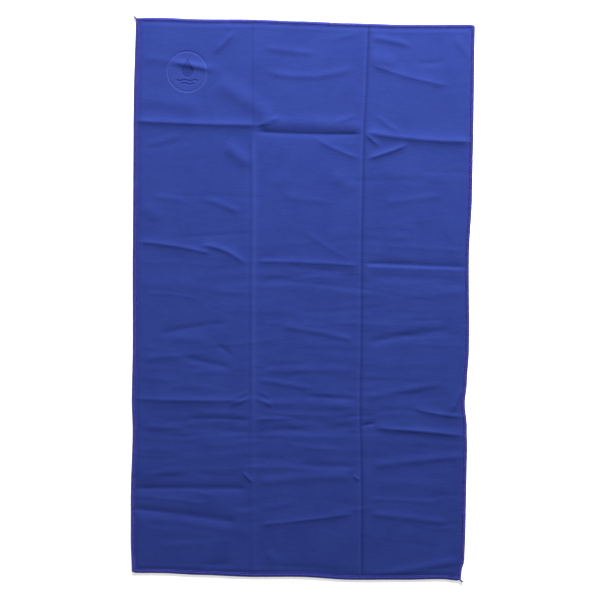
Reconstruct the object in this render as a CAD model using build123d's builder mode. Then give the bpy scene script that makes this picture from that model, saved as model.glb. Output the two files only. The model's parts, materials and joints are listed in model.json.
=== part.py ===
"""Quick dry towel: one microfibre cloth, overlocked all round, that folds in thirds along two long creases.

The towel lies flat and face up. X runs across it, Y along it towards the end with the emblem, and Z up.
The origin is under the middle of the towel, on the surface that it lies on. All sizes are in millimetres.
The left and right thirds turn about axes parallel to Y, above the creases, so they lie over the middle third.
"""

import os
from math import acos, cos, radians, sin

from build123d import *

# Driving dimensions
TOWEL_WIDTH = 406.4  # 16 inches
TOWEL_LENGTH = 673.1  # 26.5 inches
CORNER_RADIUS = 3.0
CLOTH_THICKNESS = 1.0
LEFT_CREASE_X = -59.0
RIGHT_CREASE_X = 75.0
CREASE_GAP = 0.3  # between one third and the next, so that each turns freely

# The overlock wraps the raw edge in loops of thread, and a needle line runs beside it on the cloth's face
LOOPS_WIDTH = 4.2
LOOPS_HEIGHT = 1.6
LOOPS_ROUNDING = 0.6
RAW_EDGE_INSET = 0.7  # the loops reach this far past the raw edge
MARGIN_BOTTOM = 0.3  # inside the loops the cloth is pressed thinner
MARGIN_TOP = 0.8
NEEDLE_GAP = 0.4  # between the loops and the needle line
NEEDLE_WIDTH = 0.6
NEEDLE_HEIGHT = 0.4
NEEDLE_ROUNDING = 0.15

# The chain of thread left at two corners, where the overlocking starts and ends
TAIL_LENGTH = 4.5
TAIL_RADIUS = 0.8
TAIL_ROUNDING = 0.4

# The emblem, a ring round a water drop over two lines, pressed into the cloth's face
EMBLEM_CENTRE = (-141.0, 275.0)
EMBLEM_DEPTH = 0.2
RING_RADIUS = 24.5
RING_WIDTH = 1.6
DROP_RADIUS = 7.0
DROP_TIP = 15.0  # from the centre of the drop's round end to its point
WATER_LENGTHS = (26.0, 16.0)
WATER_WIDTH = 1.4
WATER_DROP_GAP = 10.5  # from the centre of the drop's round end down to the first line
WATER_PITCH = 4.0

# The care label, sunk in the back of the right third, with its outer end against the loops
LABEL_LENGTH = 30.0
LABEL_WIDTH = 22.0
LABEL_THICKNESS = 0.3
LABEL_CENTRE_Y = -262.0
TACK_COUNT = 7
TACK_LENGTH = 2.0
TACK_WIDTH = 0.5
TACK_HEIGHT = 0.2
TACK_INSET = 2.0  # from the label's outer end
TACK_PITCH = 3.0

# Worked out
HALF_WIDTH = TOWEL_WIDTH / 2
HALF_LENGTH = TOWEL_LENGTH / 2
RAW_X = HALF_WIDTH - RAW_EDGE_INSET
RAW_Y = HALF_LENGTH - RAW_EDGE_INSET
LOOPS_X = HALF_WIDTH - LOOPS_WIDTH
LOOPS_Y = HALF_LENGTH - LOOPS_WIDTH
NEEDLE_X = LOOPS_X - NEEDLE_GAP
NEEDLE_Y = LOOPS_Y - NEEDLE_GAP
EMBLEM_PLANE = Plane(origin=(*EMBLEM_CENTRE, CLOTH_THICKNESS - EMBLEM_DEPTH))
LABEL_CENTRE = (LOOPS_X - LABEL_LENGTH / 2, LABEL_CENTRE_Y)
# Where each third reaches across the towel
THIRDS = {
    "left": (-HALF_WIDTH, LEFT_CREASE_X - CREASE_GAP / 2),
    "middle": (LEFT_CREASE_X + CREASE_GAP / 2, RIGHT_CREASE_X - CREASE_GAP / 2),
    "right": (RIGHT_CREASE_X + CREASE_GAP / 2, HALF_WIDTH),
}
SIDES = {"left": -1, "right": 1}
ENDS = {"bottom": -1, "top": 1}


def kept_inside(reach, limit):
    """A third's reach across the towel, cut off at this distance from the towel's centre line."""
    x_from, x_to = reach
    return max(x_from, -limit), min(x_to, limit)


def rectangle_between(x_from, x_to, y_from, y_to):
    """A rectangle between these limits, in the sketch being built."""
    with Locations(((x_from + x_to) / 2, (y_from + y_to) / 2)):
        Rectangle(abs(x_to - x_from), abs(y_to - y_from))


def towel_corners(part):
    """The upright edges at the towel's own corners."""
    upright = part.edges().filter_by(Axis.Z)
    return [e for e in upright if abs(e.center().X) > LOOPS_X and abs(e.center().Y) > LOOPS_Y]


def drop_outline():
    """A water drop, in the sketch being built: a round end, and a point that its sides run to."""
    touching_angle = acos(DROP_RADIUS / DROP_TIP)
    side_x = DROP_RADIUS * sin(touching_angle)
    side_y = DROP_RADIUS * cos(touching_angle)
    Circle(DROP_RADIUS)
    Polygon((-side_x, side_y), (0, DROP_TIP), (side_x, side_y), align=None)


def save(part, name):
    part.label = name
    export_step(part, f"parts/{name}.step")


os.makedirs("parts", exist_ok=True)

# The cloth, one third at a time: its pressed margin, then its full thickness inside the loops
cloths = {}
for third, reach in THIRDS.items():
    with BuildPart() as cloth:
        with BuildSketch(Plane.XY.offset(MARGIN_BOTTOM)):
            rectangle_between(*kept_inside(reach, RAW_X), -RAW_Y, RAW_Y)
        extrude(amount=MARGIN_TOP - MARGIN_BOTTOM)
        if third in SIDES:
            fillet(towel_corners(cloth), CORNER_RADIUS - RAW_EDGE_INSET)
        with BuildSketch(Plane.XY):
            rectangle_between(*kept_inside(reach, LOOPS_X), -LOOPS_Y, LOOPS_Y)
        extrude(amount=CLOTH_THICKNESS)

        if third == "left":
            with BuildSketch(EMBLEM_PLANE):
                Circle(RING_RADIUS)
                Circle(RING_RADIUS - RING_WIDTH, mode=Mode.SUBTRACT)
                drop_outline()
                for row, length in enumerate(WATER_LENGTHS):
                    with Locations((0, -WATER_DROP_GAP - row * WATER_PITCH)):
                        SlotOverall(length, WATER_WIDTH)
            extrude(amount=EMBLEM_DEPTH, mode=Mode.SUBTRACT)

        if third == "right":
            with BuildSketch(Plane.XY):
                with Locations(LABEL_CENTRE):
                    Rectangle(LABEL_LENGTH, LABEL_WIDTH)
            extrude(amount=LABEL_THICKNESS + TACK_HEIGHT, mode=Mode.SUBTRACT)
    cloths[third] = cloth.part
    save(cloth.part, f"cloth_{third}")

# The overlock: loops along both sides, and along each third's part of the ends
for side, sign in SIDES.items():
    with BuildPart() as loops:
        with BuildSketch(Plane.XY):
            rectangle_between(sign * LOOPS_X, sign * HALF_WIDTH, -HALF_LENGTH, HALF_LENGTH)
        extrude(amount=LOOPS_HEIGHT)
        fillet(towel_corners(loops), CORNER_RADIUS)
        flat_faces = loops.faces().filter_by(Axis.Z)
        rims = [e for face in flat_faces for e in face.edges() if abs(e.center().X) > LOOPS_X + LOOPS_WIDTH / 4]
        fillet(rims, LOOPS_ROUNDING)
        add(cloths[side], mode=Mode.SUBTRACT)
    save(loops.part, f"overlock_{side}")

for end, sign in ENDS.items():
    for third, reach in THIRDS.items():
        x_from, x_to = kept_inside(reach, LOOPS_X)
        with BuildPart() as loops:
            with BuildSketch(Plane.XY):
                rectangle_between(x_from, x_to, sign * LOOPS_Y, sign * HALF_LENGTH)
            extrude(amount=LOOPS_HEIGHT)
            outer_face = loops.faces().sort_by(Axis.Y)[-1 if sign > 0 else 0]
            fillet(outer_face.edges().filter_by(Axis.X), LOOPS_ROUNDING)
            add(cloths[third], mode=Mode.SUBTRACT)
        save(loops.part, f"overlock_{end}_{third}")

# The needle lines, beside the loops on the cloth's face
for side, sign in SIDES.items():
    with BuildPart() as needle_line:
        with BuildSketch(Plane.XY.offset(CLOTH_THICKNESS)):
            rectangle_between(sign * (NEEDLE_X - NEEDLE_WIDTH), sign * NEEDLE_X, -NEEDLE_Y, NEEDLE_Y)
        extrude(amount=NEEDLE_HEIGHT)
        top_face = needle_line.faces().sort_by(Axis.Z)[-1]
        fillet(top_face.edges().filter_by(Axis.Y), NEEDLE_ROUNDING)
    save(needle_line.part, f"needle_line_{side}")

for end, sign in ENDS.items():
    for third, reach in THIRDS.items():
        x_from, x_to = kept_inside(reach, NEEDLE_X - NEEDLE_WIDTH)
        with BuildPart() as needle_line:
            with BuildSketch(Plane.XY.offset(CLOTH_THICKNESS)):
                rectangle_between(x_from, x_to, sign * (NEEDLE_Y - NEEDLE_WIDTH), sign * NEEDLE_Y)
            extrude(amount=NEEDLE_HEIGHT)
            top_face = needle_line.faces().sort_by(Axis.Z)[-1]
            fillet(top_face.edges().filter_by(Axis.X), NEEDLE_ROUNDING)
        save(needle_line.part, f"needle_line_{end}_{third}")

# The thread tails, at two opposite corners: each starts on the rounded corner and points away from it
corner_middle = CORNER_RADIUS * (1 - cos(radians(45)))  # how far the rounding cuts each side at its middle
for end, side in (("top", "left"), ("bottom", "right")):
    outward = (SIDES[side], ENDS[end], 0)
    start_x = SIDES[side] * (HALF_WIDTH - corner_middle)
    start_y = ENDS[end] * (HALF_LENGTH - corner_middle)
    with BuildPart() as tail:
        with BuildSketch(Plane(origin=(start_x, start_y, LOOPS_HEIGHT / 2), z_dir=outward)):
            Circle(TAIL_RADIUS)
        extrude(amount=TAIL_LENGTH)
        far_face = tail.faces().sort_by(Axis.X)[-1 if side == "right" else 0]
        fillet(far_face.edges(), TAIL_ROUNDING)
    save(tail.part, f"thread_tail_{end}_{side}")

# The care label in its recess, and the row of tacks that holds it
with BuildPart() as care_label:
    with BuildSketch(Plane.XY.offset(TACK_HEIGHT)):
        with Locations(LABEL_CENTRE):
            Rectangle(LABEL_LENGTH, LABEL_WIDTH)
    extrude(amount=LABEL_THICKNESS)
save(care_label.part, "care_label")

with BuildPart() as label_tacks:
    with BuildSketch(Plane.XY):
        with Locations((LOOPS_X - TACK_INSET, LABEL_CENTRE_Y)):
            with GridLocations(0, TACK_PITCH, 1, TACK_COUNT):
                Rectangle(TACK_LENGTH, TACK_WIDTH)
    extrude(amount=TACK_HEIGHT)
save(label_tacks.part, "label_tacks")
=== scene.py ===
"""The looks of the quick dry towel: a microfibre cloth, creased from its packet and overlocked all round.

Sizes and places along the cloth are in millimetres, X across the towel and Y towards the end with the emblem,
and they become metres where vertices are made. A cloth point's flat place is where it lies before the cloth
is wrinkled.
"""

import json
import math

import bpy
import numpy as np
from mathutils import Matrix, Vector


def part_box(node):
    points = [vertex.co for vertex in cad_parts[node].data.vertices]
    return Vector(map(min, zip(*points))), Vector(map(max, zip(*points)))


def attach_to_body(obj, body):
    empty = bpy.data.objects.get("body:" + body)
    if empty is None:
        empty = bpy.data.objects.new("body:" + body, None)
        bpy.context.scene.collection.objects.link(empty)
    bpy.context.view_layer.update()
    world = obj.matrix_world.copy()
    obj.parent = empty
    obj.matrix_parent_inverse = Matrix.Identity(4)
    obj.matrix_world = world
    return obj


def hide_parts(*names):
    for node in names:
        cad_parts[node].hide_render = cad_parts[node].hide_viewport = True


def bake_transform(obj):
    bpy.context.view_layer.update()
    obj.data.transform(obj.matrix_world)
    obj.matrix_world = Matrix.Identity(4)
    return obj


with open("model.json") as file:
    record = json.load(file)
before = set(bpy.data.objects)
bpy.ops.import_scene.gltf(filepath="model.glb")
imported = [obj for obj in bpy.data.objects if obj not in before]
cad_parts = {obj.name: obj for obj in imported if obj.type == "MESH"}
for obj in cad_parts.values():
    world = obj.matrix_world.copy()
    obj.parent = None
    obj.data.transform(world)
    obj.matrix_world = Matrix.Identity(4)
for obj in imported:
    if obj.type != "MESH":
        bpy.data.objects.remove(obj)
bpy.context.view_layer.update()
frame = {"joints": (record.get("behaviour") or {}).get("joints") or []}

MM = 0.001  # metres in a millimetre

# --- Sizes from the frame -------------------------------------------------------------------------


def box_mm(node):
    low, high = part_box(node)
    return low / MM, high / MM


HALF_WIDTH = -box_mm("overlock_left")[0].x
HALF_LENGTH = box_mm("overlock_left")[1].y
RAW_X = -box_mm("cloth_left")[0].x
RAW_Y = box_mm("cloth_left")[1].y
LOOPS_WIDTH = box_mm("overlock_left")[1].x + HALF_WIDTH
JOINT_X = {joint["name"]: joint["pos_m"][0] / MM for joint in frame["joints"]}
LEFT_FOLD_X = JOINT_X["left_fold"]
RIGHT_FOLD_X = JOINT_X["right_fold"]
SEAM_X = (LEFT_FOLD_X + RIGHT_FOLD_X) / 2  # the cloth's left and right pieces meet in the middle third

# --- The cloth's shape ----------------------------------------------------------------------------

THICKNESS = 0.9  # of the cloth, away from its hems
MARGIN_THICKNESS = 0.6  # pressed between the overlock's threads
HEM_BEAD = 0.5  # how much the margin rolled up in the threads adds
REST_HEIGHT = 1.15  # how far the underside is off the floor between wrinkles
LOWEST, HIGHEST = 0.08, 2.9  # the underside's limits
LIMIT_SHARPNESS = 8.0  # how abruptly it meets them
CORNER_RADIUS = 3.0

EMBLEM = (-141.0, 275.0)  # its centre
EMBLEM_RADIUS = 24.5
DROP_RADIUS = 7.0
DROP_TIP = 15.0  # from the centre of the drop's round end to its point
WAVE_LENGTHS = (26.0, 16.0)
WAVE_WIDTH = 1.6
WAVE_DROPS = (10.5, 14.5)  # how far below the drop's round end each wave runs
RING_DEPTH, FIELD_DEPTH, MARK_DEPTH = 0.30, 0.10, 0.35

# How far each edge stands out from the plain rectangle, as (place along the edge, distance) pairs
EDGE_OUT = {
    "left": (
        (-337, -1.2), (-290, 0.4), (-240, 0.8), (-160, -0.8), (-120, 0.6), (-60, 0.0), (60, 1.0), (240, 1.4),
        (337, -0.2),
    ),
    "right": (
        (-337, -1.6), (-325, -0.9), (-311, 2.2), (-285, 2.6), (-176, 2.2), (-150, 1.2), (-118, -2.0),
        (-95, -0.2), (-54, 1.4), (67, -1.4), (128, 0.5), (190, 0.2), (337, -1.1),
    ),
    "top": (
        (-203, 1.6), (-175, 2.0), (-127, 1.0), (-67, 1.7), (-7, 0.7), (53, -0.7), (112, -1.4), (203, 0.1),
    ),
    "bottom": (
        (-203, -1.0), (-168, -1.4), (-118, 0.1), (-57, 1.5), (4, 0.5), (66, 3.0), (127, 2.0), (180, 0.4),
        (203, 2.0),
    ),
}
EDGE_REACH = 45.0  # how far in from the edge that is felt

# The two packing creases along the towel, as (Y, X) pairs
LEFT_CREASE = ((-337, -54), (-140, -57), (43, -59), (337, -64))
RIGHT_CREASE = ((-337, 80), (-282, 79), (-97, 74), (109, 72), (205, 72), (265, 74), (337, 75))
# How strongly the left one stands up, as (Y, share) pairs: at 0 it is only a fine line
LEFT_CREASE_STRENGTH = ((-337, 0.45), (-160, 0.5), (-110, 1.0), (180, 1.0), (215, 0.0), (337, 0.0))

# Sharp packing creases across one column of the cloth, and the small tucks at their ends:
# from X and Y, to X and Y, sideways bow, height (under 0 for a valley), width of each flank
CREASES = (
    # left column
    (-215, 216, -52, 213, -1.0, 1.20, 5.0),
    (-215, -120, -66, -120, -1.0, 0.60, 4.5),
    (-215, -231, -60, -229, 0.0, -0.75, 4.5),
    (-215, -255, -72, -271, 1.0, -0.80, 5.0),
    (-140, -144, -56, -145, 0.5, -0.35, 3.0),
    (-82, 324, -111, 294, -1.0, 0.95, 3.2),
    (-94, 334, -91, 322, 0.0, 0.40, 2.0),
    (-200, 71, -106, 57, 2.0, 0.75, 3.5),
    (-126, 68, -67, 45, 6.0, 0.85, 3.5),
    (-69, -207, -54, -223, 0.0, 0.60, 2.0),
    # middle column
    (-60, 205, 72, 204, -1.5, -0.80, 3.0),
    (-61, 210, -26, 224, 0.0, 0.80, 2.5),
    (-58, 49, 72, 46, 1.5, 0.55, 3.0),
    (-58, -144, -4, -142, 1.0, 0.40, 2.6),
    (-48, -273, 70, -257, -1.0, 0.55, 3.5),
    (12, 199, 71, 174, -2.0, 0.50, 2.4),
    (66, -209, 76, -217, 0.0, 0.45, 1.8),
    # right column
    (71, 207, 216, 198, -3.5, 1.30, 5.0),
    (72, 206, 93, 188, 0.0, 0.70, 2.2),
    (74, 174, 128, 194, -1.0, 0.95, 3.0),
    (72, 49, 216, 46, 0.0, -0.80, 4.0),
    (72, 45, 216, 42, 0.0, 0.40, 3.0),
    (74, -150, 95, -145, 0.0, -0.65, 2.0),
    (90, -151, 216, -161, 1.5, 0.80, 4.5),
    (78, 287, 174, 263, -2.0, 0.55, 3.5),
    (182, -134, 198, -97, -3.0, 0.95, 3.2),
    (136, -126, 216, -136, -2.5, 0.75, 3.2),
)

# Softer wrinkles, written the same way, with the width of the whole rounded ridge
WRINKLES = (
    # left column
    (-203, 241, -122, 230, 2.0, 0.45, 9.0),
    (-200, 291, -98, 276, 2.0, 0.30, 5.0),
    (-162, 286, -110, 277, 1.0, 0.75, 3.8),
    (-108, 264, -36, 218, 2.0, 0.85, 11.0),
    (-97, 193, -60, 163, -2.0, 0.95, 8.0),
    (-186, 126, -138, 121, 0.0, 0.28, 3.5),
    (-122, 123, -72, 106, 2.0, 0.45, 4.0),
    (-195, 118, -170, 95, 0.0, 0.45, 8.0),
    (-191, 184, -145, 201, 0.0, 0.28, 4.0),
    (-174, -42, -86, -26, 2.0, -0.38, 4.0),
    (-194, -74, -138, -70, 4.0, 0.40, 4.5),
    (-142, -70, -80, -83, 1.0, -0.40, 4.0),
    (-105, -50, -80, -70, 1.0, -0.40, 3.5),
    (-128, -137, -56, -139, 1.0, 0.25, 4.0),
    (-190, -154, -132, -157, 0.0, 0.30, 4.0),
    (-196, -217, -134, -207, 1.0, 0.38, 4.5),
    (-122, -327, -75, -320, 0.0, -0.35, 5.0),
    (-200, 20, -90, 12, 3.0, 0.25, 9.0),
    # middle column
    (-52, 306, 14, 299, -1.0, 0.35, 4.0),
    (-48, 277, 60, 283, -8.0, 0.42, 4.5),
    (26, 314, 68, 325, 1.0, 0.30, 4.0),
    (-56, 215, 74, 212, 2.0, 0.75, 8.5),
    (33, 216, 68, 228, 0.0, 0.35, 3.0),
    (32, 156, 66, 136, 0.0, 0.55, 9.0),
    (-26, 128, 36, 121, 0.0, 0.22, 4.0),
    (-2, 90, 60, 52, -2.0, 0.20, 3.0),
    (-56, 21, 75, 34, 5.0, -0.28, 5.0),
    (-26, -29, 70, -46, 2.0, 0.42, 3.6),
    (-50, -83, 70, -81, 0.0, 0.28, 4.5),
    (-54, -94, 20, -105, 0.0, 0.38, 3.5),
    (-50, -124, 70, -126, 2.0, 0.45, 5.0),
    (4, -114, 72, -117, 0.0, -0.30, 3.0),
    (-54, -159, 68, -151, 0.0, -0.40, 5.0),
    (-38, -302, -24, -323, 0.0, 0.40, 6.0),
    (-28, -325, 80, -330, 0.0, -0.35, 5.0),
    (-50, -221, 68, -211, 2.0, 0.45, 6.0),
    (0, -199, 70, -200, 0.0, -0.30, 4.0),
    # right column
    (75, 320, 130, 309, 2.0, 0.55, 4.0),
    (73, 294, 113, 288, 1.0, 0.85, 9.0),
    (128, 290, 172, 294, -2.0, -0.25, 3.5),
    (84, 229, 120, 205, -2.0, 0.40, 3.0),
    (176, 327, 206, 294, -3.0, 0.45, 5.0),
    (95, 121, 171, 132, 1.0, 0.28, 4.5),
    (96, 77, 132, 82, 0.0, 0.20, 4.0),
    (77, 33, 204, 25, 2.0, -0.40, 6.0),
    (78, -49, 184, -31, 3.0, -0.50, 4.5),
    (76, -114, 176, -94, -1.0, 0.45, 4.5),
    (88, -198, 206, -184, 1.0, 0.48, 5.0),
    (87, -257, 186, -268, 1.0, 0.42, 4.5),
    (84, -334, 203, -312, -1.0, 0.50, 5.0),
    (90, -220, 190, -226, 3.0, 0.22, 7.0),
    (90, 160, 190, 154, -4.0, 0.22, 12.0),
)

# Small V folds where a cross crease meets the left packing crease, written the same way
KNOT = (
    (-86, -127, -56, -116, 0.0, 0.45, 2.4),
    (-57, -116, -31, -126, 0.0, 0.45, 2.4),
    (-80, -118, -60, -108, 0.0, 0.30, 2.2),
    (-52, -108, -34, -117, 0.0, 0.30, 2.2),
)

CREASE_GAIN, WRINKLE_GAIN = 1.5, 1.3  # every listed height is raised by this much
RIPPLE_COUNT = 190  # faint streaks across the cloth, placed at random
RIPPLE_SEED = 11


def smoothed(t):
    """Goes smoothly from 0 to 1 as t does."""
    t = np.clip(t, 0.0, 1.0)
    return t * t * (3.0 - 2.0 * t)


def along_pairs(pairs, at):
    """A smooth curve through (place, value) pairs."""
    places, values = np.array(pairs, float).T
    at = np.clip(at, places[0], places[-1])
    after = np.clip(np.searchsorted(places, at), 1, len(places) - 1)
    share = smoothed((at - places[after - 1]) / (places[after] - places[after - 1]))
    return values[after - 1] + (values[after] - values[after - 1]) * share


def fold(x, y, line, profile):
    """The height that one wrinkle adds: its profile across, faded out at both ends."""
    x0, y0, x1, y1, bow, height, width = line
    length = math.hypot(x1 - x0, y1 - y0)
    along = ((x - x0) * (x1 - x0) + (y - y0) * (y1 - y0)) / length**2
    across = ((y - y0) * (x1 - x0) - (x - x0) * (y1 - y0)) / length
    across = across - bow * 4.0 * along * (1.0 - along)
    fade = min(0.35, 14.0 / length)
    ends = smoothed(along / fade) * smoothed((1.0 - along) / fade)
    return height * profile(across, width) * ends


def sharp_profile(across, width):
    """1 on a crease's line, falling off to both sides with a nearly sharp ridge."""
    rounding = 0.5
    return np.exp(-(np.sqrt(across**2 + rounding**2) - rounding) / width)


def soft_profile(across, width):
    """1 on a wrinkle's line, falling off to both sides as a rounded ridge."""
    return np.exp(-((across / width) ** 2))


def ripples():
    """The faint streaks, as soft wrinkles."""
    draw = np.random.default_rng(RIPPLE_SEED)
    lines = []
    for _ in range(RIPPLE_COUNT):
        x, y = draw.uniform(-190, 190), draw.triangular(-325, -140, 230)
        length, slope = draw.uniform(45, 120), draw.normal(0, 0.08)
        reach_x, reach_y = length / 2, slope * length / 2
        height = draw.uniform(0.05, 0.17) * draw.choice((-1, 1))
        bow, width = draw.normal(0, 1.5), draw.uniform(2.2, 5.5)
        lines.append((x - reach_x, y - reach_y, x + reach_x, y + reach_y, bow, height, width))
    return lines


RIPPLES = ripples()


def edge_distance(x, y):
    """How far a flat place is inside the overlock's outer edge."""
    return np.minimum(HALF_WIDTH - np.abs(x), HALF_LENGTH - np.abs(y))


def packing_creases(x, y):
    """What the creases along the towel add: the left one is a low band, and the right one a narrow valley."""
    from_left = x - along_pairs(LEFT_CREASE, y)
    from_right = x - along_pairs(RIGHT_CREASE, y)
    strength = along_pairs(LEFT_CREASE_STRENGTH, y)
    height = strength * (0.6 * soft_profile(from_left - 1.5, 3.6) - 0.3 * soft_profile(from_left + 5.0, 2.4))
    height -= 0.25 * (1.0 - strength) * sharp_profile(from_left, 1.6)
    return height + 0.35 * soft_profile(from_right, 9.0) - 1.0 * sharp_profile(from_right, 1.9)


def puckers(x, y, inside):
    """The overlock's puckers beside the hem, and the low swell just inside them."""
    pucker = np.sin(x / 2.3 + 1.2 * np.sin(x / 19.0)) + np.sin(y / 2.6 + 1.5 * np.sin(y / 23.0))
    return 0.07 * pucker * np.exp(-np.clip(inside, 0, None) / 7.0) + 0.30 * soft_profile(inside - 9.0, 2.6)


def limited(height):
    """The height, eased so that it stays between LOWEST and HIGHEST."""
    height = LOWEST + np.logaddexp(0.0, (height - LOWEST) * LIMIT_SHARPNESS) / LIMIT_SHARPNESS
    return HIGHEST - np.logaddexp(0.0, (HIGHEST - height) * LIMIT_SHARPNESS) / LIMIT_SHARPNESS


def underside(x, y):
    """The height of the cloth's underside at flat places x and y."""
    height = REST_HEIGHT + packing_creases(x, y)
    for line in CREASES:
        height += CREASE_GAIN * fold(x, y, line, sharp_profile)
    for line in (*WRINKLES, *KNOT, *RIPPLES):
        height += WRINKLE_GAIN * fold(x, y, line, soft_profile)
    broad_swell = 0.22 * np.sin(x / 47.0 + 0.6) * np.sin(y / 61.0 - 0.4)
    inside = edge_distance(x, y)
    height += broad_swell + puckers(x, y, inside)
    # the wrinkles ease off at the hem, where the threads need room under the cloth
    hem = 1.0 - smoothed(inside / 16.0)
    return limited(height * (1.0 - 0.75 * hem) + 0.45 * hem)


def thickness(x, y):
    """The cloth's thickness: the margin under the overlock is thinner, and rolled up into a low bead."""
    inside = edge_distance(x, y)
    bead = HEM_BEAD * np.sin(math.pi * np.clip(inside / LOOPS_WIDTH, 0.0, 1.0)) ** 2
    return MARGIN_THICKNESS + (THICKNESS - MARGIN_THICKNESS) * smoothed(inside - LOOPS_WIDTH) + bead


def drop_distance(x, y):
    """How far a place in the emblem is outside the water drop, or under 0 inside it."""
    touching = math.acos(DROP_RADIUS / DROP_TIP)
    round_end = np.hypot(x, y) - DROP_RADIUS
    side = np.abs(x) * math.sin(touching) + y * math.cos(touching) - DROP_RADIUS
    return np.where(np.abs(x) * math.cos(touching) < y * math.sin(touching), side, round_end)


def bar_distance(x, y, length, width):
    """How far a place is outside a round-ended bar along X."""
    return np.hypot(np.clip(np.abs(x) - (length - width) / 2, 0, None), y) - width / 2


def emblem_marks(x, y):
    """1 in the emblem's pressed marks and 0 outside them: a water drop over two rippling lines."""
    x, y = x - EMBLEM[0], y - EMBLEM[1]
    ripple = 0.7 * np.sin(x / 1.9)
    outside = drop_distance(x, y)
    for length, below in zip(WAVE_LENGTHS, WAVE_DROPS):
        outside = np.minimum(outside, bar_distance(x, y + below + ripple, length, WAVE_WIDTH))
    return 1.0 - smoothed((outside + 0.35) / 0.7)


def emblem_ring(x, y):
    """1 in the emblem's pressed ring, easing to 0 beside it."""
    return soft_profile(np.hypot(x - EMBLEM[0], y - EMBLEM[1]) - EMBLEM_RADIUS + 0.8, 1.0)


def emblem_field(x, y):
    """1 inside the emblem's round field, easing to 0 at its rim."""
    radius = np.hypot(x - EMBLEM[0], y - EMBLEM[1])
    return 1.0 - smoothed((radius - EMBLEM_RADIUS + 0.6) / 1.2)


def face(x, y):
    """The height of the cloth's face."""
    rim, field, marks = emblem_ring(x, y), emblem_field(x, y), emblem_marks(x, y)
    return underside(x, y) + thickness(x, y) - RING_DEPTH * rim - FIELD_DEPTH * field - MARK_DEPTH * marks


def spread(x, y):
    """Where flat places lie once the outline has its waves and its corners are round."""
    out_x = along_pairs(EDGE_OUT["right"], y) * smoothed(1 - (HALF_WIDTH - x) / EDGE_REACH)
    out_x = out_x - along_pairs(EDGE_OUT["left"], y) * smoothed(1 - (HALF_WIDTH + x) / EDGE_REACH)
    out_y = along_pairs(EDGE_OUT["top"], x) * smoothed(1 - (HALF_LENGTH - y) / EDGE_REACH)
    out_y = out_y - along_pairs(EDGE_OUT["bottom"], x) * smoothed(1 - (HALF_LENGTH + y) / EDGE_REACH)
    past_x = np.clip(np.abs(x) - HALF_WIDTH + CORNER_RADIUS, 0, None)
    past_y = np.clip(np.abs(y) - HALF_LENGTH + CORNER_RADIUS, 0, None)
    round_off = 1.0 - np.maximum(past_x, past_y) / np.maximum(np.hypot(past_x, past_y), 1e-9)
    along_x = x + out_x - np.sign(x) * past_x * round_off
    along_y = y + out_y - np.sign(y) * past_y * round_off
    return along_x, along_y


def cloth_vertices(x, y, z):
    """Vertices, in metres, for flat places and heights in millimetres."""
    across, along = spread(x, y)
    return np.stack([across, along, z], axis=-1).reshape(-1, 3) * MM


# --- Making pieces --------------------------------------------------------------------------------


def new_piece(name, vertices, faces, material, walls=()):
    """A smooth-shaded mesh, whose walls meet the other faces at sharp edges."""
    mesh = bpy.data.meshes.new(name)
    mesh.from_pydata(vertices.tolist(), [], faces)
    mesh.polygons.foreach_set("use_smooth", np.ones(len(faces), bool))
    mesh.update()
    for wall in walls:
        for loop in mesh.polygons[wall].loop_indices:
            mesh.edges[mesh.loops[loop].edge_index].use_edge_sharp = True
    mesh.materials.append(material)
    piece = bpy.data.objects.new(name, mesh)
    bpy.context.scene.collection.objects.link(piece)
    return piece


def give(piece, name, values):
    """A named value at each vertex, for the material to read."""
    values = np.asarray(values, np.float32)
    if values.ndim == 1:
        piece.data.attributes.new(name, "FLOAT", "POINT").data.foreach_set("value", values)
    else:
        piece.data.attributes.new(name, "FLOAT_VECTOR", "POINT").data.foreach_set("vector", values.ravel())


def stations(low, high, step, fine_spans):
    """Places from low to high, a step apart, and closer in each (from, to, step) span."""
    places = [low]
    while places[-1] < high:
        here = places[-1]
        fine = [span_step for start, end, span_step in fine_spans if start <= here < end]
        places.append(here + min(fine, default=step))
    places[-1] = high
    if places[-1] - places[-2] < step / 4:
        del places[-2]
    return np.array(places)


def thinned(places, whole_spans):
    """The indices of every other place, and of all places in the (from, to, step) spans."""
    kept = [0]
    for index in range(1, len(places) - 1):
        whole = any(start <= places[index] < end for start, end, _ in whole_spans)
        if whole or index - kept[-1] == 2:
            kept.append(index)
    return [*kept, len(places) - 1]


def grid_faces(rows, columns, row_length, first=0, turned=False):
    """Quads between these rows and columns of a grid whose rows hold row_length vertices."""
    quads = []
    for low_row, high_row in zip(rows, rows[1:]):
        for left, right in zip(columns, columns[1:]):
            a, b = first + low_row * row_length + left, first + low_row * row_length + right
            c, d = first + high_row * row_length + right, first + high_row * row_length + left
            quads.append((a, d, c, b) if turned else (a, b, c, d))
    return quads


def cloth_walls(nx, ny, some_x, some_y):
    """The faces round the rim of a piece, from its face's nx by ny grid to its underside's coarser one."""
    first = nx * ny
    corners = len(some_x) * (len(some_y) - 1)
    walls = []
    for step, (here, there) in enumerate(zip(some_x, some_x[1:])):
        near = [*range(here, there + 1)]
        walls.append((*near[::-1], first + step, first + step + 1))
        far = [(ny - 1) * nx + column for column in near]
        walls.append((*far, first + corners + step + 1, first + corners + step))
    for step, (here, there) in enumerate(zip(some_y, some_y[1:])):
        low, high = first + step * len(some_x), first + (step + 1) * len(some_x)
        left = [row * nx for row in range(here, there + 1)]
        walls.append((*left, high, low))
        right = [row * nx + nx - 1 for row in range(here, there + 1)]
        walls.append((*right[::-1], low + len(some_x) - 1, high + len(some_x) - 1))
    return walls


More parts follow.
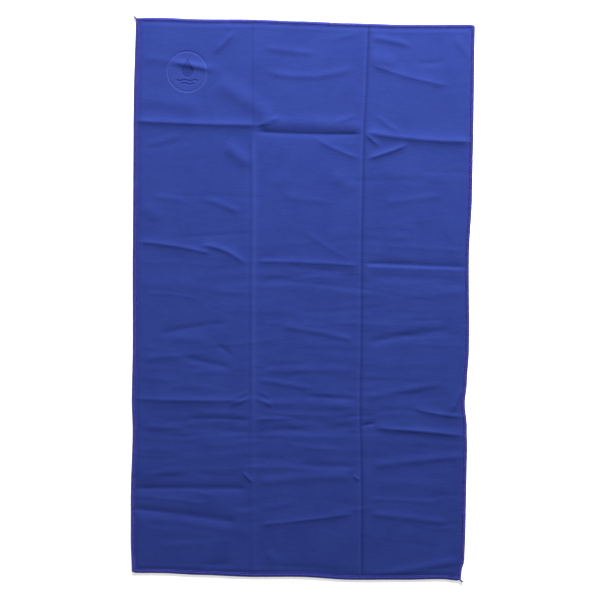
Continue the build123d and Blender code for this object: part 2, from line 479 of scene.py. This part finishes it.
def give_cloth_values(piece, x, y, on_face):
    """What the cloth's material reads, for vertices at flat places x and y."""
    give(piece, "flat_place", np.stack([x, y, np.zeros(len(x))], axis=-1) * MM)
    from_left = x - along_pairs(LEFT_CREASE, y)
    from_right = x - along_pairs(RIGHT_CREASE, y)
    strength = along_pairs(LEFT_CREASE_STRENGTH, y)
    # painted highlight: a lighter band along the left crease's ridge, and a thin lighter line on the lit left
    # wall of the right crease's valley
    left_crease_highlight = strength * soft_profile(from_left - 1.0, 2.6)
    give(piece, "painted_crease_highlight", left_crease_highlight + 0.6 * soft_profile(from_right + 2.6, 1.3))
    # painted shade: a dark line down the right crease's valley, and a fainter one where the left crease is
    # only a fine line
    left_crease_shade = 0.35 * (1.0 - strength) * sharp_profile(from_left, 1.0)
    give(piece, "painted_crease_shade", sharp_profile(from_right, 1.0) + left_crease_shade)
    give(piece, "pressed", emblem_marks(x, y) * on_face)
    give(piece, "emblem", (0.5 * emblem_field(x, y) + 1.1 * emblem_ring(x, y)) * on_face)


def cloth_piece(name, x_places, y_places, material, whole_spans):
    """A closed piece of cloth over these places. Outside the whole spans its underside has fewer vertices."""
    x, y = (grid.ravel() for grid in np.meshgrid(x_places, y_places))
    nx, ny = len(x_places), len(y_places)
    faces = grid_faces(range(ny), range(nx), nx)

    some_x, some_y = thinned(x_places, whole_spans), thinned(y_places, ())
    under_x, under_y = (grid.ravel() for grid in np.meshgrid(x_places[some_x], y_places[some_y]))
    first = nx * ny
    faces += grid_faces(range(len(some_y)), range(len(some_x)), len(some_x), first, turned=True)
    walls_from = len(faces)
    faces += cloth_walls(nx, ny, some_x, some_y)

    above = cloth_vertices(x, y, face(x, y))
    below = cloth_vertices(under_x, under_y, underside(under_x, under_y))
    piece = new_piece(name, np.concatenate([above, below]), faces, material, range(walls_from, len(faces)))
    all_x, all_y = np.concatenate([x, under_x]), np.concatenate([y, under_y])
    give_cloth_values(piece, all_x, all_y, np.arange(len(all_x)) < first)
    return piece


def tube(path, radius, sides):
    """The vertices and faces of a closed tube along a path of points, in millimetres."""
    path = np.asarray(path, float)
    ahead = np.gradient(path, axis=0)
    ahead /= np.maximum(np.linalg.norm(ahead, axis=1, keepdims=True), 1e-9)
    upright = np.where(np.abs(ahead[:, 2:3]) > 0.95, [[0.0, 1.0, 0.0]], [[0.0, 0.0, 1.0]])
    beside = np.cross(ahead, upright)
    beside /= np.linalg.norm(beside, axis=1, keepdims=True)
    over = np.cross(beside, ahead)
    turns = np.arange(sides) * 2 * math.pi / sides
    rings = path[:, None] + radius * (
        np.cos(turns)[None, :, None] * beside[:, None] + np.sin(turns)[None, :, None] * over[:, None]
    )
    faces = []
    for ring in range(len(path) - 1):
        for side in range(sides):
            a, b = ring * sides + side, ring * sides + (side + 1) % sides
            faces.append((a, a + sides, b + sides, b))
    last = (len(path) - 1) * sides
    faces.append(tuple(range(sides)))
    faces.append(tuple(range(last + sides - 1, last - 1, -1)))
    return rings.reshape(-1, 3), faces


def tubes_piece(name, paths, radius, sides, material):
    """One piece of several tubes."""
    vertices, faces, count = [], [], 0
    for path in paths:
        ring_points, ring_faces = tube(path, radius, sides)
        vertices.append(ring_points)
        faces += [tuple(count + index for index in corner_list) for corner_list in ring_faces]
        count += len(ring_points)
    return new_piece(name, np.concatenate(vertices) * MM, faces, material)


# --- Materials ------------------------------------------------------------------------------------


def new_material(name):
    """A material, its nodes, its links and its shader."""
    material = bpy.data.materials.new(name)
    material.use_nodes = True
    nodes = material.node_tree.nodes
    return material, nodes, material.node_tree.links, nodes["Principled BSDF"]


def noise(nodes, links, place, scale, detail=3.0, roughness=0.5):
    """Noise from 0 to 1 over the places, finer as the scale grows."""
    texture = nodes.new("ShaderNodeTexNoise")
    texture.inputs["Scale"].default_value = scale
    texture.inputs["Detail"].default_value = detail
    texture.inputs["Roughness"].default_value = roughness
    links.new(place, texture.inputs["Vector"])
    return texture.outputs["Fac"]


def stretched(nodes, links, place, scale):
    """The places multiplied axis by axis, so that a texture on them is drawn out where the scale is small."""
    mapping = nodes.new("ShaderNodeMapping")
    mapping.inputs["Scale"].default_value = scale
    links.new(place, mapping.inputs["Vector"])
    return mapping.outputs["Vector"]


def attribute(nodes, name, output="Fac"):
    """A value that was given to the piece's vertices."""
    node = nodes.new("ShaderNodeAttribute")
    node.attribute_name = name
    return node.outputs[output]


def scaled(nodes, links, value, by):
    """An output multiplied by a number."""
    node = nodes.new("ShaderNodeMath")
    node.operation = "MULTIPLY"
    links.new(value, node.inputs[0])
    node.inputs[1].default_value = by
    return node.outputs["Value"]


def named_socket(sockets, name, kind):
    """The socket with this name and type: a mix node repeats its names for each type of value."""
    return next(socket for socket in sockets if socket.name == name and socket.type == kind)


def mixed(nodes, links, share, first, second):
    """Two colours, each a colour or an output, mixed by an output."""
    node = nodes.new("ShaderNodeMix")
    node.data_type = "RGBA"
    links.new(share, named_socket(node.inputs, "Factor", "VALUE"))
    for name, value in (("A", first), ("B", second)):
        socket = named_socket(node.inputs, name, "RGBA")
        if isinstance(value, bpy.types.NodeSocket):
            links.new(value, socket)
        else:
            socket.default_value = (*value, 1.0)
    return named_socket(node.outputs, "Result", "RGBA")


def remapped(nodes, links, value, low, high, to_low=0.0, to_high=1.0):
    """An output stretched from low to high onto to_low to to_high."""
    node = nodes.new("ShaderNodeMapRange")
    for name, number in (("From Min", low), ("From Max", high), ("To Min", to_low), ("To Max", to_high)):
        node.inputs[name].default_value = number
    links.new(value, node.inputs["Value"])
    return node.outputs["Result"]


def bumped(nodes, links, height, strength, distance, under=None):
    """A normal with this height on it, over another bumped normal if there is one."""
    node = nodes.new("ShaderNodeBump")
    node.inputs["Strength"].default_value = strength
    node.inputs["Distance"].default_value = distance
    links.new(height, node.inputs["Height"])
    if under is not None:
        links.new(under, node.inputs["Normal"])
    return node.outputs["Normal"]


def towel_cloth():
    """Suede-finish microfibre: a fine knit under a brushed nap, with a painted highlight along the left
    crease and painted shade in the crease lines.
    """
    material, nodes, links, shader = new_material("towel_cloth")
    place = attribute(nodes, "flat_place", "Vector")
    across = stretched(nodes, links, place, (0.35, 1.0, 1.0))

    patches = remapped(nodes, links, noise(nodes, links, place, 26.0, 4.0, 0.6), 0.3, 0.7)
    colour = mixed(nodes, links, patches, (0.0123, 0.0219, 0.121), (0.0153, 0.0272, 0.141))
    streaks = remapped(nodes, links, noise(nodes, links, across, 170.0, 5.0, 0.65), 0.3, 0.75)
    colour = mixed(nodes, links, scaled(nodes, links, streaks, 0.45), colour, (0.0185, 0.0315, 0.157))
    nap = remapped(nodes, links, noise(nodes, links, place, 900.0, 3.0, 0.7), 0.35, 0.75)
    colour = mixed(nodes, links, scaled(nodes, links, nap, 0.22), colour, (0.0215, 0.0359, 0.171))
    # painted highlight along the creases, mixed towards a lighter blue
    painted_highlight = scaled(nodes, links, attribute(nodes, "painted_crease_highlight"), 0.36)
    colour = mixed(nodes, links, painted_highlight, colour, (0.0265, 0.0440, 0.201))
    # painted shade in the crease lines, mixed towards a darker blue
    painted_shade = scaled(nodes, links, attribute(nodes, "painted_crease_shade"), 0.5)
    colour = mixed(nodes, links, painted_shade, colour, (0.0075, 0.0114, 0.067))
    field = scaled(nodes, links, attribute(nodes, "emblem"), 0.30)
    colour = mixed(nodes, links, field, colour, (0.0290, 0.0440, 0.194))
    marks = scaled(nodes, links, attribute(nodes, "pressed"), 0.55)
    colour = mixed(nodes, links, marks, colour, (0.0094, 0.0145, 0.084))
    links.new(colour, shader.inputs["Base Color"])

    rough = remapped(nodes, links, nap, 0.0, 1.0, 0.78, 0.92)
    links.new(rough, shader.inputs["Roughness"])
    shader.inputs["Specular IOR Level"].default_value = 0.01
    shader.inputs["Sheen Weight"].default_value = 0.03
    shader.inputs["Sheen Roughness"].default_value = 0.6
    shader.inputs["Sheen Tint"].default_value = (0.3, 0.38, 0.85, 1.0)

    knit = noise(nodes, links, stretched(nodes, links, place, (0.6, 1.6, 1.0)), 650.0, 2.0)
    normal = bumped(nodes, links, knit, 0.5, 0.0004)
    normal = bumped(nodes, links, noise(nodes, links, place, 2600.0, 2.0), 0.3, 0.00015, normal)
    normal = bumped(nodes, links, streaks, 0.25, 0.00025, normal)
    links.new(normal, shader.inputs["Normal"])
    return material


def overlock_thread():
    """Textured polyester thread, a little more violet than the cloth."""
    material, nodes, links, shader = new_material("overlock_thread")
    place = nodes.new("ShaderNodeTexCoord").outputs["Object"]
    shade = remapped(nodes, links, noise(nodes, links, place, 320.0, 4.0, 0.6), 0.3, 0.7)
    colour = mixed(nodes, links, shade, (0.0250, 0.0250, 0.185), (0.0500, 0.0520, 0.320))
    links.new(colour, shader.inputs["Base Color"])
    fibres = noise(nodes, links, place, 3800.0, 3.0, 0.7)
    links.new(remapped(nodes, links, fibres, 0.3, 0.7, 0.5, 0.75), shader.inputs["Roughness"])
    links.new(bumped(nodes, links, fibres, 0.5, 0.0002), shader.inputs["Normal"])
    shader.inputs["Specular IOR Level"].default_value = 0.1
    shader.inputs["Sheen Weight"].default_value = 0.03
    shader.inputs["Sheen Roughness"].default_value = 0.4
    return material


def label_tape():
    """White satin tape, woven in fine ribs."""
    material, nodes, links, shader = new_material("label_tape")
    place = nodes.new("ShaderNodeTexCoord").outputs["Object"]
    ribs = nodes.new("ShaderNodeTexWave")
    ribs.bands_direction = "Y"
    ribs.inputs["Scale"].default_value = 420.0
    ribs.inputs["Distortion"].default_value = 0.6
    links.new(place, ribs.inputs["Vector"])
    shade = noise(nodes, links, place, 240.0, 3.0)
    colour = mixed(nodes, links, shade, (0.42, 0.42, 0.41), (0.50, 0.50, 0.49))
    links.new(colour, shader.inputs["Base Color"])
    links.new(remapped(nodes, links, ribs.outputs["Fac"], 0.0, 1.0, 0.38, 0.52), shader.inputs["Roughness"])
    links.new(bumped(nodes, links, ribs.outputs["Fac"], 0.4, 0.0001), shader.inputs["Normal"])
    shader.inputs["Sheen Weight"].default_value = 0.2
    return material


CLOTH, THREAD, TAPE = towel_cloth(), overlock_thread(), label_tape()

# --- The cloth ------------------------------------------------------------------------------------

ACROSS_STEP, ALONG_STEP, HEM_STEP, EMBLEM_STEP = 2.0, 1.25, 0.9, 0.6
EMBLEM_SPLIT_Y = 190.0  # the emblem's end of the left piece is finer, so it is a piece of its own
BLEND_WIDTH = 6.0  # the finest vertices reach this much of the cloth's width outside each crease
HEM_REACH = 8.0  # how far in the finer hem goes

# The stretches that need more vertices, as (from, to, step) spans: the finest are beside the creases
hem_x = [(-HALF_WIDTH, -HALF_WIDTH + HEM_REACH, HEM_STEP), (HALF_WIDTH - HEM_REACH, HALF_WIDTH, HEM_STEP)]
hem_y = [(-HALF_LENGTH, -HALF_LENGTH + HEM_REACH, HEM_STEP), (HALF_LENGTH - HEM_REACH, HALF_LENGTH, HEM_STEP)]
crease_x = [
    (LEFT_FOLD_X - 10, LEFT_FOLD_X + 6, 1.0),
    (LEFT_FOLD_X - BLEND_WIDTH - 0.5, LEFT_FOLD_X + 0.5, 0.5),
    (RIGHT_FOLD_X - 7, RIGHT_FOLD_X + 10, 0.75),
    (RIGHT_FOLD_X - 0.5, RIGHT_FOLD_X + BLEND_WIDTH + 0.5, 0.5),
]
emblem_reach = EMBLEM_RADIUS + 3
emblem_x = [(EMBLEM[0] - emblem_reach, EMBLEM[0] + emblem_reach, EMBLEM_STEP)]
emblem_y = [(EMBLEM[1] - emblem_reach, EMBLEM[1] + emblem_reach, EMBLEM_STEP)]

cloth_upper_left = cloth_piece(
    "cloth_upper_left",
    stations(-RAW_X, SEAM_X, ACROSS_STEP, hem_x + crease_x + emblem_x),
    stations(EMBLEM_SPLIT_Y, RAW_Y, ALONG_STEP, hem_y + emblem_y),
    CLOTH,
    crease_x,
)
cloth_lower_left = cloth_piece(
    "cloth_lower_left",
    stations(-RAW_X, SEAM_X, ACROSS_STEP, hem_x + crease_x),
    stations(-RAW_Y, EMBLEM_SPLIT_Y, ALONG_STEP, hem_y),
    CLOTH,
    crease_x,
)
cloth_right = cloth_piece(
    "cloth_right_side",
    stations(SEAM_X, RAW_X, ACROSS_STEP, hem_x + crease_x),
    stations(-RAW_Y, RAW_Y, ALONG_STEP, hem_y),
    CLOTH,
    crease_x,
)


def bend_left(piece):
    """The piece crosses the left crease: its transform is baked into its mesh, and it is not bent to follow
    the left third.
    """
    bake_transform(piece)


def bend_right(piece):
    """The piece crosses the right crease: its transform is baked into its mesh, and it is not bent to follow
    the right third.
    """
    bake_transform(piece)


for piece in (cloth_upper_left, cloth_lower_left):
    bend_left(piece)
    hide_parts("cloth_left", "cloth_middle")
bend_right(cloth_right)
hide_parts("cloth_right", "cloth_middle")

# --- The overlock ---------------------------------------------------------------------------------

STITCH = 2.2
THREAD_RADIUS = 0.30
NEEDLE_IN = LOOPS_WIDTH + 0.5  # the needle line's distance from the outer edge
# One stitch of a looper: distance in from the edge as a share of the loops' width, share of the stitch along
# it, and level: 1 on the looper's own side of the cloth, 0 at the middle of the edge
LOOP = (
    (1.0, 0.00, 1.0), (0.84, 0.09, 1.0), (0.64, 0.17, 1.0), (0.42, 0.26, 1.0), (0.22, 0.34, 1.0),
    (0.08, 0.41, 0.9), (0.01, 0.47, 0.4), (0.01, 0.53, 0.4), (0.08, 0.59, 0.9), (0.22, 0.66, 1.0),
    (0.42, 0.74, 1.0), (0.64, 0.83, 1.0), (0.84, 0.91, 1.0),
)


class Run:
    """A straight run of overlocking along one edge: places along it become flat places on the cloth."""

    def __init__(self, edge, start, end):
        self.edge, self.start, self.end = edge, start, end

    def flat(self, inward, along):
        if self.edge == "left":
            return -HALF_WIDTH + inward, along
        if self.edge == "right":
            return HALF_WIDTH - inward, along
        if self.edge == "top":
            return along, HALF_LENGTH - inward
        return along, -HALF_LENGTH + inward

    def points(self, inward, along, level):
        """Thread centres. Level 1 lies on the face, 0 at the middle of the cloth, and -1 on the underside."""
        x, y = self.flat(np.asarray(inward, float), np.asarray(along, float))
        low, high = underside(x, y), face(x, y)
        middle, half = (low + high) / 2, (high - low) / 2 + THREAD_RADIUS
        across, length = spread(x, y)
        return np.stack([across, length, np.maximum(middle + half * level, THREAD_RADIUS)], axis=-1)


def looper_path(run, face_up):
    """One looper's thread: loops from the needle line out to the edge and back."""
    count = round((run.end - run.start) / STITCH)
    pitch = (run.end - run.start) / count
    shift = 0.0 if face_up else 0.5
    draw = np.random.default_rng(len(run.edge) * 7 + face_up)
    loose = draw.normal(0, 0.10, count)
    inward, along, level = [], [], []
    for stitch in range(count):
        for reach, share, height in LOOP:
            inward.append(reach * (LOOPS_WIDTH + loose[stitch]))
            place = run.start + (stitch + share + shift) * pitch
            along.append(min(place, run.end))
            level.append(height if face_up else -height)
    return run.points(inward, along, level)


def needle_path(run):
    """The needle thread: straight stitches that dive into the cloth between them."""
    count = round((run.end - run.start) / STITCH)
    shares, heights = (0.0, 0.12, 0.3, 0.5, 0.7, 0.88), (-0.2, 0.55, 0.95, 1.0, 0.95, 0.55)
    pitch = (run.end - run.start) / count
    along = np.array([run.start + (stitch + share) * pitch for stitch in range(count) for share in shares])
    return run.points(np.full(len(along), NEEDLE_IN), along, np.array(heights * count))


def edge_chain(run):
    """Where the two loopers lock, along the very edge."""
    along = np.arange(run.start, run.end, STITCH / 8)
    swing = np.sin((along - run.start) / STITCH * 4 * math.pi)
    return run.points(-0.05 + 0.12 * swing, along, 0.25 * np.roll(swing, 2))


def overlock(name, run, attach, nodes):
    """The loops and the needle thread of one run, which stand for the CAD nodes whose names end in these."""
    loop_paths = [looper_path(run, True), looper_path(run, False), edge_chain(run)]
    loops = tubes_piece(f"loops_{name}", loop_paths, THREAD_RADIUS, 5, THREAD)
    needle = tubes_piece(f"needle_thread_{name}", [needle_path(run)], THREAD_RADIUS * 0.85, 6, THREAD)
    for piece, prefix in ((loops, "overlock"), (needle, "needle_line")):
        attach(piece)
        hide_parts(*(f"{prefix}_{node}" for node in nodes))
    return [loops, needle]


def on_left(piece):
    """The piece moves with the left third."""
    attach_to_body(piece, "left_third")


def on_right(piece):
    """The piece moves with the right third."""
    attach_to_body(piece, "right_third")


INNER_X = HALF_WIDTH - LOOPS_WIDTH
side_reach = HALF_LENGTH - 0.3
left_trim = overlock("left", Run("left", -side_reach, side_reach), on_left, ["left"])
right_trim = overlock("right", Run("right", -side_reach, side_reach), on_right, ["right"])
for end in ("top", "bottom"):
    left_run, right_run = Run(end, -INNER_X, SEAM_X), Run(end, SEAM_X, INNER_X)
    left_trim += overlock(f"{end}_left", left_run, bend_left, [f"{end}_left", f"{end}_middle"])
    right_trim += overlock(f"{end}_right", right_run, bend_right, [f"{end}_right", f"{end}_middle"])

# --- Thread tails ---------------------------------------------------------------------------------


TAIL_LENGTH = 5.6  # from the middle of the corner's loops
TAIL_START = 1.6  # in from the two edges
STRAND_RADIUS, STRAND_SWING = 0.62, 0.6
STRAND_TURNS = 2.1


def thread_tail(name, corner, attach):
    """Two strands twisted together, from a corner of the towel outwards."""
    sign_x, sign_y = corner
    start = np.array([sign_x * (HALF_WIDTH - TAIL_START), sign_y * (HALF_LENGTH - TAIL_START)])
    x, y = spread(start[:1], start[1:])
    base = np.array([x[0], y[0], 1.0])
    outward = np.array([sign_x, sign_y * 0.95, 0.0]) / math.hypot(1, 0.95)
    beside = np.array([-outward[1], outward[0], 0.0])
    steps = np.linspace(0, 1, 26)
    paths = []
    for phase in (0.0, math.pi):
        turn = phase + steps * 2 * STRAND_TURNS * math.pi
        droop = 0.6 - 0.3 * steps**1.5
        bend = 0.5 * np.sin(steps * 2.6)
        centre = base + outward * (steps * TAIL_LENGTH)[:, None] + beside * bend[:, None]
        centre[:, 2] += droop
        path = centre + beside * (STRAND_SWING * np.cos(turn))[:, None]
        path[:, 2] += STRAND_SWING * np.sin(turn)
        paths.append(path)
    piece = tubes_piece(f"tail_{name}", paths, STRAND_RADIUS, 7, THREAD)
    attach(piece)
    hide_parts(f"thread_tail_{name}")
    return piece


left_trim.append(thread_tail("top_left", (-1, 1), on_left))
right_trim.append(thread_tail("bottom_right", (1, -1), on_right))

# --- The care label, under the right third --------------------------------------------------------

LABEL_LOW, LABEL_HIGH = box_mm("care_label")
LABEL_THICKNESS = 0.25
TACK_COUNT, TACK_RADIUS = 7, 0.18


def care_label():
    """A blank tape label that follows the cloth's underside."""
    x_places = np.linspace(LABEL_LOW.x, LABEL_HIGH.x, 31)
    y_places = np.linspace(LABEL_LOW.y, LABEL_HIGH.y, 23)
    x, y = (grid.ravel() for grid in np.meshgrid(x_places, y_places))
    over = underside(x, y) - 0.02
    under = np.maximum(over - LABEL_THICKNESS, 0.02)
    nx, ny = len(x_places), len(y_places)
    faces = grid_faces(range(ny), range(nx), nx) + grid_faces(range(ny), range(nx), nx, nx * ny, turned=True)
    rim = [*range(nx), *(row * nx + nx - 1 for row in range(1, ny))]
    rim += [*range(nx * ny - 2, nx * (ny - 1) - 1, -1), *(row * nx for row in range(ny - 2, 0, -1))]
    for here, there in zip(rim, rim[1:] + rim[:1]):
        faces.append((there, here, here + nx * ny, there + nx * ny))
    vertices = np.concatenate([cloth_vertices(x, y, over), cloth_vertices(x, y, under)])
    piece = new_piece("care_label_tape", vertices, faces, TAPE)
    on_right(piece)
    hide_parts("care_label")
    return piece


def label_tacks():
    """The row of stitches that holds the label's outer end."""
    low, high = box_mm("label_tacks")
    paths = []
    for y in np.linspace(low.y + 0.25, high.y - 0.25, TACK_COUNT):
        x = np.linspace(low.x, high.x, 6)
        flat_y = np.full(len(x), y)
        across, along = spread(x, flat_y)
        sink = np.array([0.0, 0.22, 0.28, 0.28, 0.22, 0.0])
        z = np.maximum(underside(x, flat_y) - LABEL_THICKNESS - sink, 0.2)
        paths.append(np.stack([across, along, z], axis=-1))
    piece = tubes_piece("care_label_tacks", paths, TACK_RADIUS, 6, THREAD)
    on_right(piece)
    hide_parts("label_tacks")
    return piece


right_trim += [care_label(), label_tacks()]

# --- Floor, light and camera ----------------------------------------------------------------------


def floor():
    """A pale table that is lit a little from inside, so shadows on it stay soft."""
    bpy.ops.mesh.primitive_plane_add(size=8.0, location=(0, 0, 0))
    plane = bpy.context.object
    plane.name = "floor"
    material, _, _, shader = new_material("floor")
    shader.inputs["Base Color"].default_value = (0.93, 0.93, 0.93, 1.0)
    shader.inputs["Roughness"].default_value = 0.9
    shader.inputs["Specular IOR Level"].default_value = 0.0
    shader.inputs["Emission Color"].default_value = (1.0, 1.0, 1.0, 1.0)
    shader.inputs["Emission Strength"].default_value = 0.45
    plane.data.materials.append(material)
    return plane


WINDOW_PLACE = (0.3, 1.75, 0.72)  # metres, low beyond the end with the emblem, so that creases show
WINDOW_SIZE = 0.5
WINDOW_POWER = 165.0
WORLD_LIGHT, WORLD_SEEN = 0.3, 0.73  # what the world gives off, and how pale it looks past the floor
CAMERA_PLACE = (-0.003, 0.0944, 1.5128)
CAMERA_TILT, CAMERA_ROLL = -3.45, 0.97  # degrees
CAMERA_LENS, CAMERA_SENSOR = 75.0, 36.0


def window_light():
    """A soft round light, aimed at the middle of the towel."""
    lamp = bpy.data.lights.new("window", "AREA")
    lamp.shape = "DISK"
    lamp.size = WINDOW_SIZE
    lamp.energy = WINDOW_POWER
    holder = bpy.data.objects.new("window", lamp)
    holder.location = WINDOW_PLACE
    holder.rotation_euler = (-Vector(WINDOW_PLACE)).to_track_quat("-Z", "Y").to_euler()
    bpy.context.scene.collection.objects.link(holder)


def studio_world():
    """Even light from all round, which the camera sees paler than it is."""
    world = bpy.data.worlds.new("world")
    world.use_nodes = True
    nodes, links = world.node_tree.nodes, world.node_tree.links
    background = nodes["Background"]
    background.inputs["Color"].default_value = (1.0, 1.0, 1.0, 1.0)
    seen = nodes.new("ShaderNodeLightPath").outputs["Is Camera Ray"]
    links.new(remapped(nodes, links, seen, 0.0, 1.0, WORLD_LIGHT, WORLD_SEEN), background.inputs["Strength"])
    bpy.context.scene.world = world


def photo_camera():
    """Looks down from almost straight above, as the photograph does."""
    camera = bpy.data.objects.new("camera", bpy.data.cameras.new("camera"))
    camera.location = CAMERA_PLACE
    camera.rotation_euler = (math.radians(CAMERA_TILT), 0.0, math.radians(CAMERA_ROLL))
    camera.data.lens = CAMERA_LENS
    camera.data.sensor_width = CAMERA_SENSOR
    bpy.context.scene.collection.objects.link(camera)
    bpy.context.scene.camera = camera


ground = floor()
window_light()
studio_world()
photo_camera()
bpy.context.scene.view_settings.view_transform = "Standard"
